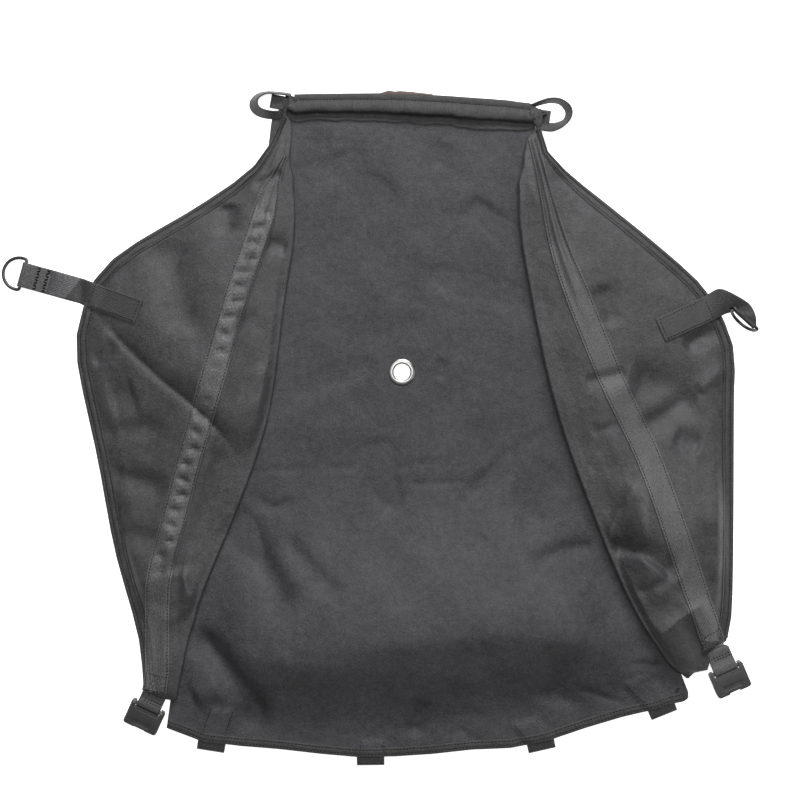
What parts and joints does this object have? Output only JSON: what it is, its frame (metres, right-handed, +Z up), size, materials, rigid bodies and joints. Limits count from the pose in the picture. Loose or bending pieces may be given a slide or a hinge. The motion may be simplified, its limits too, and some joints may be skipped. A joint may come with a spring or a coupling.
{
  "type": "kayak spray skirt",
  "caption": "Black fabric deck cover laid flat with its inside up: two side wings with webbing straps and buckle sockets, D-ring tabs, a webbing-stiffened top edge, hem loops and a grommet.",
  "frame": {"origin": "middle of the laid-out skirt on the floor", "axes": "+X right across the skirt, +Y towards the edge with the webbing casing, +Z up from the floor, out of the inside face"},
  "size_m": [0.7561, 0.6765, 0.0411],
  "materials": {
    "cloth": "fine black twill, slight sheen",
    "webbing": "woven black webbing, slight sheen",
    "buckle": "dark grey moulded plastic",
    "metal": "nickel plate",
    "label": "woven tape, blank"
  },
  "bodies": {
    "deck": {"deck_panel": "cloth", "bottom_hem": "cloth", "top_casing": "cloth", "top_edge_webbing": "webbing", "care_label": "label", "grommet": "metal", "grommet_washer": "metal", "bottom_loop_1": "webbing", "bottom_loop_2": "webbing", "bottom_loop_3": "webbing", "bottom_loop_4": "webbing", "left_wing_root": "cloth", "right_wing_root": "cloth", "left_top_loop": "webbing", "right_top_loop": "webbing"},
    "left_wing": {"left_wing_panel": "cloth", "left_wing_hem": "cloth", "left_strap": "webbing", "left_tab_patch": "webbing"},
    "left_tab": {"left_tab_webbing": "webbing"},
    "left_ring": {"left_d_ring": "metal"},
    "left_tail": {"left_strap_tail": "webbing"},
    "left_buckle": {"left_buckle_socket": "buckle"},
    "right_wing": {"right_wing_panel": "cloth", "right_wing_hem": "cloth", "right_strap": "webbing", "right_tab_patch": "webbing"},
    "right_tab": {"right_tab_webbing": "webbing"},
    "right_ring": {"right_d_ring": "metal"},
    "right_tail": {"right_strap_tail": "webbing"},
    "right_buckle": {"right_buckle_socket": "buckle"}
  },
  "joints": [
    {"name": "left_wing_fold", "type": "hinge", "parent": "deck", "child": "left_wing", "pos_m": [-0.1425, 0.01, 0.0206], "axis": [0.2067, 0.9784, 0], "range_deg": [0, 110]},
    {"name": "right_wing_fold", "type": "hinge", "parent": "deck", "child": "right_wing", "pos_m": [0.2135, 0.0335, 0.0206], "axis": [0.3131, -0.9497, 0], "range_deg": [0, 110]},
    {"name": "left_tab_fold", "type": "hinge", "parent": "left_wing", "child": "left_tab", "pos_m": [-0.2945, 0.1365, 0.004], "axis": [0.2676, 0.9635, 0], "range_deg": [-80, 120]},
    {"name": "left_ring_swing", "type": "hinge", "parent": "left_tab", "child": "left_ring", "pos_m": [-0.3575, 0.154, 0.0035], "axis": [0.2676, 0.9635, 0], "range_deg": [-150, 150]},
    {"name": "right_tab_fold", "type": "hinge", "parent": "right_wing", "child": "right_tab", "pos_m": [0.33825, 0.12525, 0.0044], "axis": [0.5318, -0.8469, 0], "range_deg": [-60, 80]},
    {"name": "right_ring_swing", "type": "hinge", "parent": "right_tab", "child": "right_ring", "pos_m": [0.3648, 0.1098, 0.02], "axis": [0.7431, -0.6691, 0], "range_deg": [-120, 0]},
    {"name": "left_tail_flex", "type": "hinge", "parent": "left_wing", "child": "left_tail", "pos_m": [-0.22508, -0.26631, 0.011], "axis": [-0.9063, 0.4226, 0], "range_deg": [-20, 90]},
    {"name": "left_buckle_swing", "type": "hinge", "parent": "left_tail", "child": "left_buckle", "pos_m": [-0.231, -0.279, 0.011], "axis": [-0.9063, 0.4226, 0], "range_deg": [-75, 90]},
    {"name": "right_tail_flex", "type": "hinge", "parent": "right_wing", "child": "right_tail", "pos_m": [0.33813, -0.22224, 0.0073], "axis": [-0.9171, -0.3987, 0], "range_deg": [-45, 90]},
    {"name": "right_buckle_swing", "type": "hinge", "parent": "right_tail", "child": "right_buckle", "pos_m": [0.3465, -0.2415, 0.0073], "axis": [-0.9171, -0.3987, 0], "range_deg": [-90, 90]}
  ]
}
